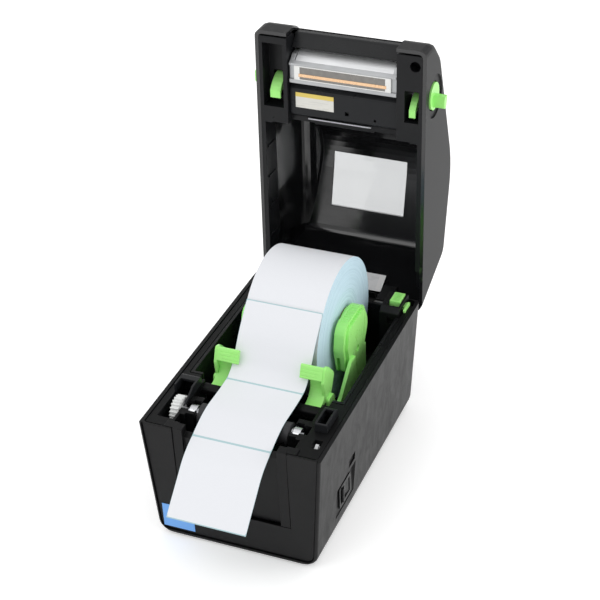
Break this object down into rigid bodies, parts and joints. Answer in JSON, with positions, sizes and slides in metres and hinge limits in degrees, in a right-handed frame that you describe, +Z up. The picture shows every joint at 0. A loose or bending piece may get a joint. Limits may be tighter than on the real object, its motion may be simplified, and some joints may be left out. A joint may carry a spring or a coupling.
{
  "type": "thermal label printer",
  "caption": "Desktop thermal label printer with hinged lid, print head, platen drive, sliding media holders and a threaded roll of labels.",
  "frame": {"origin": "middle of the whole machine's footprint, lid open, on the surface that its feet rest on", "axes": "+Z up, +Y towards the back where the lid stands, +X to the right seen from the front"},
  "size_m": [0.1272, 0.2822, 0.2542],
  "materials": {
    "case_black": "fine moulded grain, satin",
    "deck_black": "fine moulded grain, matt",
    "tray_black": "smooth, half gloss",
    "lid_black": "smooth, glossy inside",
    "green_plastic": "smooth moulded, half gloss",
    "white_plastic": "smooth moulded",
    "rubber_black": "ground rubber",
    "steel": "turned and drawn steel",
    "aluminium": "extruded, fine brushed",
    "cast_grey": "die cast, bead blasted",
    "ceramic_grey": "glazed substrate",
    "heater_glaze": "glazed heater line with copper tone",
    "label_paper": "coated thermal paper",
    "core_card": "wound kraft board",
    "window_smoke": "clear moulded window",
    "blue_sticker": "plain blue sticker",
    "cream_sticker": "plain two-tone sticker",
    "grey_sticker": "plain pale sticker",
    "board_green": "solder mask",
    "brass": "turned brass",
    "socket_metal": "tinned shell",
    "button_grey": "smooth button",
    "lens_blue": "light pipe",
    "sensor_grey": "sensor body"
  },
  "bodies": {
    "base": {"base_shell": "case_black", "bottom_plate": "case_black", "rubber_feet": "rubber_black", "case_screws": "steel", "front_panel": "deck_black", "front_sticker": "blue_sticker", "deck_frame": "deck_black", "left_striker": "case_black", "right_striker": "case_black", "media_tray": "tray_black", "hinge_pins": "steel", "left_bearing": "steel", "right_bearing": "steel", "gear_bracket": "steel", "motor_body": "tray_black", "mainboard": "board_green", "board_standoffs": "brass", "dc_inlet": "tray_black", "usb_socket": "socket_metal", "network_socket": "socket_metal", "switch_housing": "tray_black", "head_open_sensor": "sensor_grey", "media_sensor": "tray_black", "lock_block": "case_black", "label_web": "label_paper"},
    "platen": {"platen_shaft": "steel", "platen_rubber": "rubber_black", "platen_gear": "white_plastic"},
    "idler": {"idler_gear": "white_plastic"},
    "motor_rotor": {"motor_pinion": "brass"},
    "rocker": {"power_rocker": "tray_black"},
    "left_carriage": {"left_holder": "green_plastic", "left_guide": "green_plastic"},
    "right_carriage": {"right_holder": "green_plastic", "right_guide": "green_plastic"},
    "pinion": {"sync_pinion": "white_plastic"},
    "slide_lock": {"lock_slider": "green_plastic", "lock_lever": "green_plastic"},
    "roll": {"label_roll": "label_paper", "roll_core": "core_card"},
    "lid": {"lid_cover": "lid_black", "lid_frame": "deck_black", "exit_bar": "case_black", "lid_window": "window_smoke", "head_cover_plate": "deck_black", "head_sticker": "cream_sticker", "static_brush": "steel", "lid_sticker": "grey_sticker", "spring_bridge": "steel", "head_springs": "steel", "status_lens": "lens_blue"},
    "print_head": {"heat_sink": "aluminium", "head_bracket": "cast_grey", "head_ceramic": "ceramic_grey", "heater_line": "heater_glaze"},
    "latch": {"latch_shaft": "steel", "latch_hooks": "green_plastic", "latch_levers": "green_plastic", "latch_spring": "steel"},
    "button": {"feed_button": "button_grey"}
  },
  "joints": [
    {"name": "lid_hinge", "type": "hinge", "parent": "base", "child": "lid", "pos_m": [0, 0.0719, 0.0761], "axis": [1, 0, 0], "range_deg": [0, 91.3]},
    {"name": "latch_turn", "type": "hinge", "parent": "lid", "child": "latch", "pos_m": [0, 0.10201, 0.21735], "axis": [-1, 0, 0], "range_deg": [0, 12], "stiffness_Nm_per_rad": 0.15, "springref_deg": -8.59},
    {"name": "head_float", "type": "slide", "parent": "lid", "child": "print_head", "axis": [0, 0.9997, -0.0227], "range_m": [0, 0.0012], "stiffness_N_per_m": 1500, "springref_m": -0.0015, "deforming": ["head_springs"]},
    {"name": "feed_button_press", "type": "slide", "parent": "lid", "child": "button", "axis": [0, -0.9511, -0.309], "range_m": [0, 0.0008], "stiffness_N_per_m": 600, "springref_m": -0.0006},
    {"name": "platen_spin", "type": "hinge", "parent": "base", "child": "platen", "pos_m": [0, -0.079, 0.0783], "axis": [1, 0, 0], "continuous": true},
    {"name": "idler_spin", "type": "hinge", "parent": "base", "child": "idler", "pos_m": [-0.0436, -0.07528, 0.05719], "axis": [1, 0, 0], "continuous": true},
    {"name": "motor_spin", "type": "hinge", "parent": "base", "child": "motor_rotor", "pos_m": [-0.0436, -0.0691, 0.04022], "axis": [1, 0, 0], "continuous": true},
    {"name": "roll_spin", "type": "hinge", "parent": "base", "child": "roll", "pos_m": [0, 0.0183, 0.0904], "axis": [1, 0, 0], "continuous": true},
    {"name": "left_holder_slide", "type": "slide", "parent": "base", "child": "left_carriage", "axis": [-1, 0, 0], "range_m": [0, 0.0055]},
    {"name": "right_holder_slide", "type": "slide", "parent": "base", "child": "right_carriage", "axis": [1, 0, 0], "range_m": [0, 0.0055]},
    {"name": "sync_pinion_spin", "type": "hinge", "parent": "base", "child": "pinion", "pos_m": [0, 0.0183, 0.042], "axis": [0, 0, -1], "range_deg": [0, 53]},
    {"name": "lock_slide", "type": "slide", "parent": "base", "child": "slide_lock", "axis": [0, -1, 0], "range_m": [0, 0.003]},
    {"name": "power_switch", "type": "hinge", "parent": "base", "child": "rocker", "pos_m": [0.0462, -0.05685, 0.0258], "axis": [0, 0, -1], "range_deg": [0, 14]}
  ],
  "couplings": [
    {"joint": "idler_spin", "follows": "platen_spin", "ratio": -0.67647},
    {"joint": "motor_spin", "follows": "platen_spin", "ratio": 1.6429},
    {"joint": "right_holder_slide", "follows": "left_holder_slide", "ratio": 1},
    {"joint": "sync_pinion_spin", "follows": "left_holder_slide", "rad_per_m": 166.67}
  ]
}
